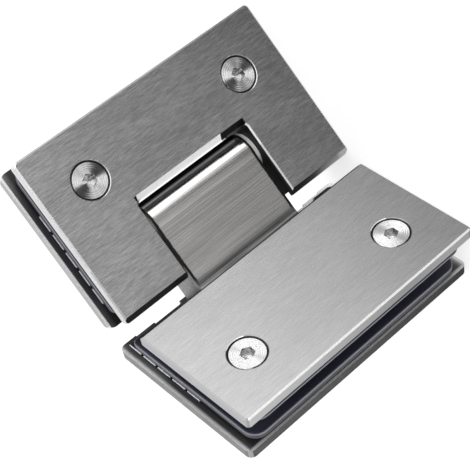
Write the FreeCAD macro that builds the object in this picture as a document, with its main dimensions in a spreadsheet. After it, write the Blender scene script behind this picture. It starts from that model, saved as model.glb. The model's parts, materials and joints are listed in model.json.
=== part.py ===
import os
import re

import FreeCAD
import Part
import Sketcher

# A 135 degree hinge for frameless glass doors. Two leaves each clamp an 8 mm pane
# between a front and a back plate. The door leaf carries a fixed pivot pin in two
# blocks; the bent knuckle of the fixed leaf turns on it, and two sprung plungers
# in the knuckle press on flats of the pin, which centres the door.
#
# Everything is drawn about the pin: X runs towards the far edge of the door leaf,
# Y through the glass away from the viewer, Z along the pin. The fixed leaf has a
# frame of its own at the bend: X away from the hinge, Y towards the viewer.

SIZES = {
    # Plates, glass and gaskets, shared by both leaves
    "plate_thickness": 3.5,
    "glass_thickness": 8,
    "gasket_thickness": 2.8,
    "corner_radius": 1.3,
    "back_corner_radius": 2.2,
    "edge_break": 0.5,
    "hinge_edge_chamfer": 1.8,
    # Door leaf
    "pin_from_far_edge": 36.8,
    "pin_from_hinge_edge": 18.2,
    "cutout_corner_radius": 1.5,
    "door_screw_inset": 16,
    # Fixed leaf, measured from the bend in the middle of the knuckle
    "bend_angle": 45,
    "leaf_gap": 7.46,
    "fixed_front_start": 5.1,
    "fixed_front_length": 45,
    "fixed_back_overhang": 8.7,
    "fixed_back_inset": 2.2,
    "fixed_screw_inset": 16.7,
    "relief_gap": 1,
    "relief_length": 10.5,
    "relief_depth": 1.1,
    "shallow_relief_length": 7,
    "shallow_relief_depth": 0.45,
    # Knuckle
    "knuckle_width": 40,
    "knuckle_tail": 18.9,
    "barrel_swell": 0.3,
    "barrel_gap": 0.8,
    "inner_bend_radius": 2.5,
    "outer_bend_radius": 3,
    # Pivot: pin, blocks, bushes and washers
    "pin_diameter": 8,
    "pin_seat_wall": 1.8,
    "pin_seat_clearance": 0.03,
    "pin_running_clearance": 0.04,
    "pin_free_clearance": 0.3,
    "pin_end_chamfer": 0.8,
    "flat_depth": 0.8,
    "flat_margin": 1,
    "bush_wall": 1.21,
    "bush_gap": 1.5,
    "washer_inset": 0.5,
    "washer_thickness": 1.4,
    "washer_play": 0.05,
    "block_width": 11.4,
    "block_play": 0.1,
    "block_inset": 2.2,
    "block_front": 13,
    # Sprung plungers
    "plunger_spacing": 14,
    "plunger_diameter": 7,
    "plunger_clearance": 0.05,
    "plunger_body": 6,
    "plunger_stud_diameter": 3.6,
    "plunger_stud_length": 3,
    "spring_diameter": 6.2,
    "spring_wire": 0.9,
    "spring_turns": 4,
    "spring_end_play": 0.05,
    "plug_diameter": 8,
    "plug_length": 8,
    "plug_sink": 1.1,
    "plug_socket": 4,
    "plug_socket_depth": 3,
    # Screws
    "clamp_diameter": 6,
    "clamp_head": 11,
    "clamp_length": 20,
    "clamp_socket": 4,
    "boss_diameter": 9,
    "boss_height": 6,
    "knuckle_bolt_side_inset": 5,
    "knuckle_bolt_inset": 10.9,
    "knuckle_bolt_diameter": 6,
    "knuckle_bolt_head": 12,
    "knuckle_bolt_length": 14,
    "knuckle_bolt_socket": 4,
    "block_screw_inset": 4.5,
    "block_screw_diameter": 5,
    "block_screw_head": 10,
    "block_screw_gap": 0.3,
    "block_screw_socket": 3,
    "set_screw_diameter": 4,
    "set_screw_length": 8,
    "set_screw_socket": 2,
    "head_sink": 0.35,
    "head_clearance": 0.05,
    "head_rim": 0.2,
    "thread_clearance": 0.05,
    "screw_end_chamfer": 0.7,
    "socket_share": 0.65,
    # Gaskets
    "gasket_inset": 3,
    "gasket_arm": 8,
    "gasket_to_block": 1,
    "gasket_far_radius": 4.5,
    "gasket_hinge_radius": 2,
    "gasket_edge": 0.6,
    "boss_margin": 0.5,
}

# Places worked out from the sizes
HALF_GAP = "(glass_thickness / 2 + gasket_thickness)"
OUTSIDE = f"({HALF_GAP} + plate_thickness)"
BARREL_RADIUS = f"({HALF_GAP} + barrel_swell)"
CUTOUT_WALL = f"({BARREL_RADIUS} + barrel_gap)"
HALF_CUTOUT = "(knuckle_width / 2 + washer_thickness + 2 * washer_play)"
BLOCK_END = f"({HALF_CUTOUT} + block_play + block_width)"
MIDDLE = f"({BLOCK_END} + gasket_to_block + gasket_arm + gasket_inset)"
WIDTH = f"(2 * {MIDDLE})"
CLAMP_SIDE = "(gasket_inset + gasket_arm + boss_margin + boss_diameter / 2)"
DOOR_SCREW = "(pin_from_far_edge - door_screw_inset)"
BLOCK_BACK = "(pin_from_hinge_edge - block_inset)"
BEND = "(pin_from_hinge_edge + leaf_gap)"
SINE, COSINE = "sin(bend_angle * 1 deg)", "cos(bend_angle * 1 deg)"
FIXED_FRONT_END = "(fixed_front_start + fixed_front_length)"
FIXED_BACK_END = f"({FIXED_FRONT_END} - fixed_back_inset)"
FIXED_SCREW = f"({FIXED_FRONT_END} - fixed_screw_inset)"
PIN_RADIUS = "(pin_diameter / 2)"
BUSH_BORE = f"({PIN_RADIUS} + pin_running_clearance)"
BUSH_RADIUS = f"({BUSH_BORE} + bush_wall)"
PLUNGER_TIP = f"({PIN_RADIUS} + plunger_clearance)"
SPRING_START = f"({PLUNGER_TIP} + plunger_body + spring_end_play)"
PLUG_END = f"({BEND} + ({HALF_GAP} - plug_diameter / 2 * {COSINE}) / {SINE} - plug_sink)"
PLUG_START = f"({PLUG_END} - plug_length)"
BUSH_LENGTH = "((knuckle_width - plunger_spacing - plunger_diameter) / 2 - bush_gap)"
BLOCK_SCREW_LENGTH = f"({OUTSIDE} - head_sink - set_screw_diameter / 2 - block_screw_gap)"
SPRING_LENGTH = f"({PLUG_START} - spring_end_play - {SPRING_START})"

document = FreeCAD.newDocument("GlassDoorHinge")
sheet = document.addObject("Spreadsheet::Sheet", "Sizes")
for row, (alias, number) in enumerate(SIZES.items(), start=1):
    sheet.set(f"A{row}", alias)
    sheet.set(f"B{row}", str(number))
    sheet.setAlias(f"B{row}", alias)
document.recompute()


def sized(text):
    """An expression with its size names turned into references."""
    return re.sub(r"\b(" + "|".join(SIZES) + r")\b", r"Sizes.\1", text)


def length_of(text):
    """The present value of an expression."""
    return float(sheet.evalExpression(sized(text)))


def bind(item, **expressions):
    """Keep properties of an object equal to expressions over the sizes."""
    for name, text in expressions.items():
        item.setExpression(name, sized(text))


# Sketches


def new_sketch(body, name, role, level="0"):
    """A sketch on one of the body's own origin planes, raised along its normal."""
    plane = [item for item in body.Origin.OriginFeatures if item.Role == role][0]
    sketch = body.newObject("Sketcher::SketchObject", name)
    sketch.AttachmentSupport = [(plane, "")]
    sketch.MapMode = "FlatFace"
    sketch.setExpression("AttachmentOffset.Base.z", sized(level))
    return sketch


def hold_point(sketch, geometry, position, x, y):
    """Hold a point of the sketch at x and y from its origin."""
    for kind, text in (("DistanceX", x), ("DistanceY", y)):
        constraint = Sketcher.Constraint(kind, -1, 1, geometry, position, length_of(text))
        held = sketch.addConstraint(constraint)
        sketch.setExpression(f"Constraints[{held}]", sized(text))


def draw_outline(sketch, corners):
    """A closed outline of straight lines through the corners."""
    points = [FreeCAD.Vector(length_of(x), length_of(y), 0) for x, y in corners]
    first = sketch.GeometryCount
    for start, end in zip(points, points[1:] + points[:1]):
        sketch.addGeometry(Part.LineSegment(start, end))
    for index, (x, y) in enumerate(corners):
        following = first + (index + 1) % len(corners)
        sketch.addConstraint(Sketcher.Constraint("Coincident", first + index, 2, following, 1))
        hold_point(sketch, first + index, 1, x, y)


def draw_rectangle(sketch, left, right, low, high):
    draw_outline(sketch, [(left, low), (right, low), (right, high), (left, high)])


def draw_circle(sketch, x, y, diameter):
    centre = FreeCAD.Vector(length_of(x), length_of(y), 0)
    circle = Part.Circle(centre, FreeCAD.Vector(0, 0, 1), length_of(diameter) / 2)
    circle = sketch.addGeometry(circle)
    hold_point(sketch, circle, 3, x, y)
    held = sketch.addConstraint(Sketcher.Constraint("Diameter", circle, length_of(diameter)))
    sketch.setExpression(f"Constraints[{held}]", sized(diameter))


def draw_hexagon(sketch, across_flats):
    """A hexagon about the sketch's origin, by its size across flats."""
    corners = []
    for step in range(6):
        reach = f"{across_flats} / (2 * cos(30 deg))"
        corners.append((f"{reach} * cos({60 * step} deg)", f"{reach} * sin({60 * step} deg)"))
    draw_outline(sketch, corners)


# Features


def new_piece(label):
    body = document.addObject("PartDesign::Body", label)
    body.Label = label
    return body


def add_feature(body, kind, name, sketch, length=None, **settings):
    """A feature of the body drawn by a sketch, with its length bound to the sizes."""
    feature = body.newObject(f"PartDesign::{kind}", name)
    feature.Profile = sketch
    for setting, choice in settings.items():
        setattr(feature, setting, choice)
    if length:
        bind(feature, Length=length)
    before = feature.BaseFeature.Shape.Volume if feature.BaseFeature else 0
    document.recompute()
    if kind == "Pocket" and feature.Shape.Volume > before - 0.1:
        raise RuntimeError(f"{body.Label}: {name} cuts nothing")


def edges_at(shape, **place):
    """Names of the edges whose ends and middle all lie at the given x, y or z."""
    names = []
    for number, edge in enumerate(shape.Edges, start=1):
        first, last = edge.ParameterRange
        points = [edge.valueAt(first + (last - first) * share) for share in (0, 0.5, 1)]
        offsets = []
        for axis, text in place.items():
            offsets += [abs(getattr(point, axis) - length_of(text)) for point in points]
        if max(offsets) < 1e-4:
            names.append(f"Edge{number}")
    return names


def dress(body, kind, name, edges, size):
    """A Fillet or Chamfer of the last feature's edges."""
    base = body.Tip
    feature = body.newObject(f"PartDesign::{kind}", name)
    feature.Base = (base, edges)
    bind(feature, **{"Radius" if kind == "Fillet" else "Size": size})
    document.recompute()


def turned_solid(body, outline):
    """A solid turned about the body's Z axis, drawn as radius and height."""
    sketch = new_sketch(body, "Section", "XZ_Plane")
    draw_outline(sketch, outline)
    axis = [item for item in body.Origin.OriginFeatures if item.Role == "Z_Axis"][0]
    feature = body.newObject("PartDesign::Revolution", "Turning")
    feature.Profile = sketch
    feature.ReferenceAxis = (axis, [""])
    feature.Angle = 360
    document.recompute()


def hexagon_socket(body, across_flats, top, depth):
    """A hexagon socket cut down from a flat top."""
    sketch = new_sketch(body, "SocketOutline", "XY_Plane", top)
    draw_hexagon(sketch, across_flats)
    add_feature(body, "Pocket", "Socket", sketch, depth)


def countersunk_holes(body, name, level, side, centres, screw):
    """Countersunk clearance holes that open on the face at a level of Y."""
    sketch = new_sketch(body, name + "Centres", "XZ_Plane", f"-({level})")
    for x, z in centres:
        draw_circle(sketch, x, z, f"{screw}_diameter")
    hole = body.newObject("PartDesign::Hole", name)
    hole.Profile = sketch
    hole.DepthType = "ThroughAll"
    hole.HoleCutType = "Countersink"
    hole.HoleCutCustomValues = True
    hole.Reversed = side > 0
    bind(hole, Diameter=f"{screw}_diameter + 2 * thread_clearance")
    bind(hole, HoleCutDiameter=f"{screw}_head + 2 * (head_sink + head_rim + head_clearance)")
    hole.HoleCutCountersinkAngle = 90
    document.recompute()


# Plates


def screw_pair(x):
    """The centres of a leaf's two clamp screws."""
    return [(x, CLAMP_SIDE), (x, f"{WIDTH} - {CLAMP_SIDE}")]


def plate_blank(label, side, start, end, radius):
    """A plate with rounded corners, on one side of the glass."""
    body = new_piece(label)
    outline = new_sketch(body, "Outline", "XZ_Plane", f"-({side} * {HALF_GAP})")
    draw_rectangle(outline, start, end, "0", WIDTH)
    add_feature(body, "Pad", "Plate", outline, "plate_thickness", Reversed=side > 0)
    corners = [edges_at(body.Shape, x=x, z=z) for x in (start, end) for z in ("0", WIDTH)]
    dress(body, "Fillet", "Corners", sum(corners, []), radius)
    return body


def break_edges(body, side):
    """A fine chamfer round the outer face."""
    edges = edges_at(body.Shape, y=f"{side} * {OUTSIDE}")
    dress(body, "Chamfer", "EdgeBreak", edges, "edge_break")


def cut_knuckle_opening(body):
    """The cut-out of the door leaf that the knuckle turns in."""
    low, high = f"{MIDDLE} - {HALF_CUTOUT}", f"{MIDDLE} + {HALF_CUTOUT}"
    outline = new_sketch(body, "CutoutOutline", "XZ_Plane")
    draw_rectangle(outline, "-pin_from_hinge_edge - plate_thickness", CUTOUT_WALL, low, high)
    add_feature(body, "Pocket", "Cutout", outline, Type="ThroughAll", Midplane=True)
    corners = edges_at(body.Shape, x=CUTOUT_WALL, z=low)
    corners += edges_at(body.Shape, x=CUTOUT_WALL, z=high)
    dress(body, "Fillet", "CutoutCorners", corners, "cutout_corner_radius")


def bevel(body, name, side, x, width):
    """The wide 45 degree chamfer along an outer edge that faces the hinge."""
    face, foot = f"{side} * {OUTSIDE}", f"{side} * ({OUTSIDE} - hinge_edge_chamfer)"
    outline = new_sketch(body, name + "Outline", "XY_Plane", MIDDLE)
    draw_outline(outline, [(x, face), (f"{x} + hinge_edge_chamfer", face), (x, foot)])
    add_feature(body, "Pocket", name, outline, width, Midplane=True)


def add_bosses(body, side, x):
    """Threaded bosses for the clamp screws on the inside of a back plate."""
    bosses = new_sketch(body, "BossCircles", "XZ_Plane", f"-({side} * {HALF_GAP})")
    for x_centre, z_centre in screw_pair(x):
        draw_circle(bosses, x_centre, z_centre, "boss_diameter")
    add_feature(body, "Pad", "Bosses", bosses, "boss_height", Reversed=side < 0)
    threads = new_sketch(body, "ThreadCircles", "XZ_Plane", f"-({side} * {HALF_GAP})")
    for x_centre, z_centre in screw_pair(x):
        draw_circle(threads, x_centre, z_centre, "clamp_diameter + 2 * thread_clearance")
    add_feature(body, "Pocket", "Threads", threads, Type="ThroughAll", Midplane=True)


def block_screw_centres(end):
    """The centres of the two screws of a pivot block, at one end of the pin."""
    z = f"{MIDDLE} + {end} * ({BLOCK_END} - block_width / 2)"
    return [(f"block_screw_inset - {BLOCK_BACK}", z), ("block_front - block_screw_inset", z)]


def make_door_front_plate():
    start, end = "-pin_from_hinge_edge", "pin_from_far_edge"
    body = plate_blank("door_front_plate", -1, start, end, "corner_radius")
    cut_knuckle_opening(body)
    break_edges(body, -1)
    bevel(body, "HingeEdge", -1, start, f"2 * {WIDTH}")
    bevel(body, "CutoutEdge", -1, CUTOUT_WALL, f"2 * {HALF_CUTOUT}")
    countersunk_holes(body, "ClampHoles", f"-{OUTSIDE}", -1, screw_pair(DOOR_SCREW), "clamp")
    return body


def make_door_back_plate():
    start, end = "-pin_from_hinge_edge", "pin_from_far_edge"
    body = plate_blank("door_back_plate", 1, start, end, "back_corner_radius")
    cut_knuckle_opening(body)
    break_edges(body, 1)
    add_bosses(body, 1, DOOR_SCREW)
    centres = block_screw_centres(-1) + block_screw_centres(1)
    countersunk_holes(body, "BlockHoles", OUTSIDE, 1, centres, "block_screw")
    return body


def make_fixed_front_plate():
    start = "fixed_front_start"
    body = plate_blank("fixed_front_plate", 1, start, FIXED_FRONT_END, "corner_radius")
    break_edges(body, 1)
    bevel(body, "HingeEdge", 1, start, f"2 * {WIDTH}")
    countersunk_holes(body, "ClampHoles", OUTSIDE, 1, screw_pair(FIXED_SCREW), "clamp")
    return body


def knuckle_bolt_centres():
    """The centres of the two bolts that hold the knuckle to the back plate."""
    reach = "(knuckle_width / 2 - knuckle_bolt_side_inset)"
    return [("knuckle_bolt_inset", f"{MIDDLE} {sign} {reach}") for sign in "-+"]


def make_fixed_back_plate():
    """The back plate of the fixed leaf, with a stepped relief on each side of the knuckle."""
    start = "-fixed_back_overhang"
    body = plate_blank("fixed_back_plate", -1, start, FIXED_BACK_END, "back_corner_radius")
    break_edges(body, -1)
    reliefs = new_sketch(body, "ReliefOutlines", "XZ_Plane")
    before, deep, shallow = f"{start} - relief_depth", "relief_depth", "shallow_relief_depth"
    for sign in "-+":
        near = f"{MIDDLE} {sign} (knuckle_width / 2 + relief_gap)"
        middle = f"{near} {sign} relief_length"
        far = f"{middle} {sign} shallow_relief_length"
        corners = [(before, near), (before, far), (f"{start} + {shallow}", far)]
        corners += [(f"{start} + {shallow}", middle), (f"{start} + {deep}", middle)]
        draw_outline(reliefs, corners + [(f"{start} + {deep}", near)])
    add_feature(body, "Pocket", "Reliefs", reliefs, Type="ThroughAll", Midplane=True)
    add_bosses(body, -1, FIXED_SCREW)
    centres = knuckle_bolt_centres()
    countersunk_holes(body, "KnuckleHoles", f"-{OUTSIDE}", -1, centres, "knuckle_bolt")
    return body


# Gaskets


def make_gasket(label, side, plate_start, plate_end, screw):
    """A gasket that lines one plate where the glass lies, open round the fittings."""
    body = new_piece(label)
    start, end = f"{plate_start} + gasket_inset", f"{plate_end} - gasket_inset"
    bottom, top = "gasket_inset", f"{WIDTH} - gasket_inset"
    wall = f"{screw} + boss_diameter / 2 + boss_margin"
    low, high = "gasket_inset + gasket_arm", f"{WIDTH} - gasket_inset - gasket_arm"
    outline = new_sketch(body, "Outline", "XZ_Plane", f"-({side} * glass_thickness / 2)")
    corners = [(start, bottom), (end, bottom), (end, top), (start, top)]
    draw_outline(outline, corners + [(start, high), (wall, high), (wall, low), (start, low)])
    add_feature(body, "Pad", "Sheet", outline, "gasket_thickness", Reversed=side > 0)
    for name, x in (("Far", end), ("Hinge", start)):
        edges = edges_at(body.Shape, x=x, z=bottom) + edges_at(body.Shape, x=x, z=top)
        dress(body, "Fillet", f"{name}Corners", edges, f"gasket_{name.lower()}_radius")
    edges = edges_at(body.Shape, y=f"{side} * glass_thickness / 2")
    dress(body, "Chamfer", "GlassEdge", edges, "gasket_edge")
    return body


# Knuckle


def make_knuckle():
    """The bent knuckle: a barrel round the pin and an arm that bends into the fixed leaf."""
    body = new_piece("knuckle")
    half = HALF_GAP
    crease = f"sqrt({BARREL_RADIUS} ^ 2 - {half} ^ 2)"
    shift = f"{half} * tan(bend_angle / 2 * 1 deg)"
    tail_x, tail_y = f"-{BEND} - knuckle_tail * {COSINE}", f"-knuckle_tail * {SINE}"
    inner_bend, outer_bend = (f"{shift} - {BEND}", f"-{half}"), (f"-{shift} - {BEND}", half)
    outline = new_sketch(body, "ArmOutline", "XY_Plane", f"{MIDDLE} - knuckle_width / 2")
    corners = [
        (crease, f"-{half}"),
        inner_bend,
        (f"{tail_x} + {half} * {SINE}", f"{tail_y} - {half} * {COSINE}"),
        (f"{tail_x} - {half} * {SINE}", f"{tail_y} + {half} * {COSINE}"),
        outer_bend,
        (crease, half),
    ]
    draw_outline(outline, corners)
    add_feature(body, "Pad", "Arm", outline, "knuckle_width")
    for name, (x, y) in (("inner", inner_bend), ("outer", outer_bend)):
        edges = edges_at(body.Shape, x=x, y=y)
        dress(body, "Fillet", f"{name}_bend", edges, f"{name}_bend_radius")
    barrel = new_sketch(body, "BarrelCircle", "XY_Plane", f"{MIDDLE} - knuckle_width / 2")
    draw_circle(barrel, "0", "0", f"2 * {BARREL_RADIUS}")
    add_feature(body, "Pad", "Barrel", barrel, "knuckle_width")
    bore = new_sketch(body, "PinBoreCircle", "XY_Plane", MIDDLE)
    draw_circle(bore, "0", "0", "pin_diameter + 2 * pin_free_clearance")
    add_feature(body, "Pocket", "PinBore", bore, Type="ThroughAll", Midplane=True)
    for end in (-1, 1):
        seat = new_sketch(body, "BushSeatCircle", "XY_Plane", f"{MIDDLE} + {end} * knuckle_width / 2")
        draw_circle(seat, "0", "0", f"2 * ({BUSH_RADIUS} + thread_clearance)")
        add_feature(body, "Pocket", "BushSeat", seat, BUSH_LENGTH, Reversed=end < 0)
    plungers = new_sketch(body, "PlungerCircles", "YZ_Plane")
    plugs = new_sketch(body, "PlugCircles", "YZ_Plane", f"-{PLUG_START}")
    for end in (-1, 1):
        height = f"{MIDDLE} + {end} * plunger_spacing / 2"
        draw_circle(plungers, "0", height, "plunger_diameter + 2 * plunger_clearance")
        draw_circle(plugs, "0", height, "plug_diameter + 2 * thread_clearance")
    add_feature(body, "Pocket", "PlungerBores", plungers, PLUG_START)
    add_feature(body, "Pocket", "PlugThreads", plugs, Type="ThroughAll")
    bolts = new_sketch(body, "BoltCircles", "XZ_Plane", f"-{half} * {COSINE}")
    half_turn = FreeCAD.Rotation(FreeCAD.Vector(0, 1, 0), 180)
    bolts.AttachmentOffset = FreeCAD.Placement(FreeCAD.Vector(), half_turn)
    bolts.setExpression("AttachmentOffset.Base.x", sized(f"-{BEND} - {half} * {SINE}"))
    bolts.setExpression("AttachmentOffset.Rotation.Angle", sized("180 + bend_angle"))
    for x, z in knuckle_bolt_centres():
        draw_circle(bolts, x, z, "knuckle_bolt_diameter + 2 * thread_clearance")
    depth = "knuckle_bolt_length + head_sink + thread_clearance - plate_thickness"
    add_feature(body, "Pocket", "BoltThreads", bolts, depth)
    return body


# Pivot


def make_pivot_pin():
    body = new_piece("pivot_pin")
    half = f"({BLOCK_END} - pin_seat_wall - pin_seat_clearance)"
    low, high = f"{MIDDLE} - {half}", f"{MIDDLE} + {half}"
    edge = "pin_end_chamfer"
    outline = [("0", low), (f"{PIN_RADIUS} - {edge}", low), (PIN_RADIUS, f"{low} + {edge}")]
    outline += [(PIN_RADIUS, f"{high} - {edge}"), (f"{PIN_RADIUS} - {edge}", high), ("0", high)]
    turned_solid(body, outline)
    deep = f"({PIN_RADIUS} - flat_depth)"
    flats = [
        ("-pin_diameter", f"-{deep}", f"-{PIN_RADIUS}", PIN_RADIUS),
        (f"-{PIN_RADIUS}", PIN_RADIUS, deep, "pin_diameter"),
        (f"-{PIN_RADIUS}", PIN_RADIUS, "-pin_diameter", f"-{deep}"),
    ]
    for left, right, near, far in flats:
        outline = new_sketch(body, "FlatOutline", "XY_Plane", MIDDLE)
        draw_rectangle(outline, left, right, near, far)
        length = "plunger_spacing + plunger_diameter + 2 * flat_margin"
        add_feature(body, "Pocket", "Flat", outline, length, Midplane=True)
    return body


def make_pivot_block(label, end):
    """The block in one arm of the door leaf that holds an end of the pin."""
    body = new_piece(label)
    inner = f"{MIDDLE} + {end} * ({HALF_CUTOUT} + block_play)"
    outline = new_sketch(body, "Outline", "XZ_Plane", f"-{HALF_GAP}")
    draw_rectangle(outline, f"-{BLOCK_BACK}", "block_front", inner, f"{inner} + {end} * block_width")
    add_feature(body, "Pad", "Block", outline, f"2 * {HALF_GAP}")
    seat = new_sketch(body, "PinSeatCircle", "XY_Plane", inner)
    draw_circle(seat, "0", "0", "pin_diameter + 2 * pin_seat_clearance")
    depth = "block_width - pin_seat_wall"
    add_feature(body, "Pocket", "PinSeat", seat, depth, Reversed=end > 0)
    thread = new_sketch(body, "SetScrewCircle", "YZ_Plane", "block_front")
    centre = f"{inner} + {end} * block_width / 2"
    draw_circle(thread, "0", centre, "set_screw_diameter + 2 * thread_clearance")
    add_feature(body, "Pocket", "SetScrewThread", thread, "block_front")
    screws = new_sketch(body, "BlockScrewCircles", "XZ_Plane", f"-{HALF_GAP}")
    for x, z in block_screw_centres(end):
        draw_circle(screws, x, z, "block_screw_diameter + 2 * thread_clearance")
    depth = f"{BLOCK_SCREW_LENGTH} + head_sink + thread_clearance - plate_thickness"
    add_feature(body, "Pocket", "BlockScrewThreads", screws, depth, Reversed=True)
    return body


def make_bush(label):
    body = new_piece(label)
    top = BUSH_LENGTH
    turned_solid(body, [(BUSH_BORE, "0"), (BUSH_RADIUS, "0"), (BUSH_RADIUS, top), (BUSH_BORE, top)])
    return body


def make_washer(label):
    body = new_piece(label)
    inner, outer = f"{PIN_RADIUS} + pin_free_clearance", f"{BARREL_RADIUS} - washer_inset"
    top = "washer_thickness"
    turned_solid(body, [(inner, "0"), (outer, "0"), (outer, top), (inner, top)])
    return body


# Sprung plungers, drawn with their outer end up


def make_plunger(label):
    body = new_piece(label)
    radius, stud = "plunger_diameter / 2", "plunger_stud_diameter / 2"
    tip, end = "-plunger_body", "-plunger_body - plunger_stud_length"
    outline = [("0", "0"), (f"{radius} - flat_depth", "0"), (radius, "-flat_depth")]
    turned_solid(body, outline + [(radius, tip), (stud, tip), (stud, end), ("0", end)])
    return body


def make_spring(label):
    """A compression spring of square wire along Z, swept along its helix."""
    mean, height = "(spring_diameter - spring_wire) / 2", f"({SPRING_LENGTH} - spring_wire)"
    helix = document.addObject("Part::Helix", label + "_helix")
    bind(helix, Height=height, Radius=mean, Pitch=f"{height} / spring_turns")
    wire = document.addObject("Part::Plane", label + "_wire")
    wire.Placement.Rotation = FreeCAD.Rotation(FreeCAD.Vector(1, 0, 0), 90)
    bind(wire, Length="spring_wire", Width="spring_wire")
    wire.setExpression("Placement.Base.x", sized(f"{mean} - spring_wire / 2"))
    wire.setExpression("Placement.Base.z", sized("-spring_wire / 2"))
    spring = document.addObject("Part::Sweep", label)
    spring.Label = label
    spring.Sections = [wire]
    spring.Spine = (helix, [])
    spring.Solid = True
    spring.Frenet = True
    document.recompute()
    return spring


def make_plug(label):
    body = new_piece(label)
    edge, radius, tip = "screw_end_chamfer", "plug_diameter / 2", "plug_length"
    outline = [("0", "0"), (radius, "0"), (radius, f"{edge} - {tip}")]
    turned_solid(body, outline + [(f"{radius} - {edge}", f"-{tip}"), ("0", f"-{tip}")])
    hexagon_socket(body, "plug_socket", "0", "plug_socket_depth")
    return body


# Screws, drawn with the head up and its top at the origin


def make_countersunk_screw(label, screw, tip):
    body = new_piece(label)
    head, shank = f"{screw}_head / 2", f"{screw}_diameter / 2"
    outline = [("0", "0"), (f"{head} - head_rim", "0"), (head, "-head_rim")]
    outline += [(shank, f"{shank} - {head} - head_rim"), (shank, f"screw_end_chamfer - {tip}")]
    outline += [(f"{shank} - screw_end_chamfer", f"-{tip}"), ("0", f"-{tip}")]
    turned_solid(body, outline)
    hexagon_socket(body, f"{screw}_socket", "0", f"{screw}_socket * socket_share")
    return body


def make_set_screw(label):
    body = new_piece(label)
    edge, radius, tip = "screw_end_chamfer", "set_screw_diameter / 2", "set_screw_length"
    outline = [("0", "0"), (radius, "0"), (radius, f"{edge} - {tip}")]
    turned_solid(body, outline + [(f"{radius} - {edge}", f"-{tip}"), ("0", f"-{tip}")])
    hexagon_socket(body, "set_screw_socket", "0", "set_screw_socket * socket_share")
    return body


# Assembly

DOOR = FreeCAD.Placement()
FIXED = FreeCAD.Placement(
    FreeCAD.Vector(-length_of(BEND), 0, 0),
    FreeCAD.Rotation(FreeCAD.Vector(0, 0, 1), 180 + length_of("bend_angle")),
)
X_AXIS, Y_AXIS = FreeCAD.Vector(1, 0, 0), FreeCAD.Vector(0, 1, 0)
ENDS = {"lower": -1, "upper": 1}
placed = []


def put(piece, frame=DOOR, x="0", y="0", z="0", turn=FreeCAD.Rotation()):
    """Note a piece's place, in the frame of its leaf."""
    spot = FreeCAD.Vector(length_of(x), length_of(y), length_of(z))
    placed.append((piece, frame.multiply(FreeCAD.Placement(spot, turn))))


def put_screws(labels, frame, side, screw, length, centres):
    """Countersunk screws whose heads sit just under an outer face."""
    level = f"{side} * ({OUTSIDE} - head_sink)"
    head_out = FreeCAD.Rotation(X_AXIS, -90 * side)
    for label, (x, z) in zip(labels, centres):
        put(make_countersunk_screw(label, screw, length), frame, x, level, z, head_out)


put(make_door_front_plate())
put(make_door_back_plate())
put(make_fixed_front_plate(), FIXED)
put(make_fixed_back_plate(), FIXED)

door_span = ("-pin_from_hinge_edge", "pin_from_far_edge", DOOR_SCREW)
front_span = ("fixed_front_start", FIXED_FRONT_END, FIXED_SCREW)
back_span = ("-fixed_back_overhang", FIXED_BACK_END, FIXED_SCREW)
put(make_gasket("door_front_gasket", -1, *door_span))
put(make_gasket("door_back_gasket", 1, *door_span))
put(make_gasket("fixed_front_gasket", 1, *front_span), FIXED)
put(make_gasket("fixed_back_gasket", -1, *back_span), FIXED)

put(make_knuckle())
put(make_pivot_pin())
TIP_OUT, TIP_BACK = FreeCAD.Rotation(Y_AXIS, 90), FreeCAD.Rotation(Y_AXIS, -90)
for name, end in ENDS.items():
    put(make_pivot_block(f"{name}_pivot_block", end))
    away = f"{MIDDLE} + {end} * ({BLOCK_END} - block_width / 2)"
    tail = f"{PIN_RADIUS} + thread_clearance + set_screw_length"
    put(make_set_screw(f"{name}_pin_set_screw"), DOOR, tail, "0", away, TIP_OUT)
    bush_middle = f"{MIDDLE} + {end} * (knuckle_width - {BUSH_LENGTH}) / 2"
    put(make_bush(f"{name}_bush"), DOOR, z=f"{bush_middle} - {BUSH_LENGTH} / 2")
    washer_middle = f"{MIDDLE} + {end} * ({HALF_CUTOUT} - washer_play - washer_thickness / 2)"
    put(make_washer(f"{name}_thrust_washer"), DOOR, z=f"{washer_middle} - washer_thickness / 2")
    height = f"{MIDDLE} + {end} * plunger_spacing / 2"
    put(make_plunger(f"{name}_plunger"), DOOR, f"-{PLUNGER_TIP}", "0", height, TIP_OUT)
    coil = f"-{SPRING_START} - spring_wire / 2"
    put(make_spring(f"{name}_plunger_spring"), DOOR, coil, "0", height, TIP_BACK)
    put(make_plug(f"{name}_spring_plug"), DOOR, f"-{PLUG_END}", "0", height, TIP_BACK)

for leaf, frame, side, x in (("door", DOOR, -1, DOOR_SCREW), ("fixed", FIXED, 1, FIXED_SCREW)):
    labels = [f"{leaf}_{name}_clamp_screw" for name in ENDS]
    put_screws(labels, frame, side, "clamp", "clamp_length", screw_pair(x))
labels = [f"{name}_knuckle_bolt" for name in ENDS]
put_screws(labels, FIXED, -1, "knuckle_bolt", "knuckle_bolt_length", knuckle_bolt_centres())
for name, end in ENDS.items():
    labels = [f"{name}_block_rear_screw", f"{name}_block_front_screw"]
    put_screws(labels, DOOR, 1, "block_screw", BLOCK_SCREW_LENGTH, block_screw_centres(end))

# The part stands on the plates' end faces, with its origin under the middle of its box
box = FreeCAD.BoundBox()
for piece, place in placed:
    solid = piece.Shape.copy()
    solid.Placement = place
    box.add(solid.optimalBoundingBox(False))
foot = FreeCAD.Vector(-box.Center.x, -box.Center.y, -box.ZMin)
origin = FreeCAD.Placement(foot, FreeCAD.Rotation())
for piece, place in placed:
    piece.Placement = origin.multiply(place)
document.recompute()

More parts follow.
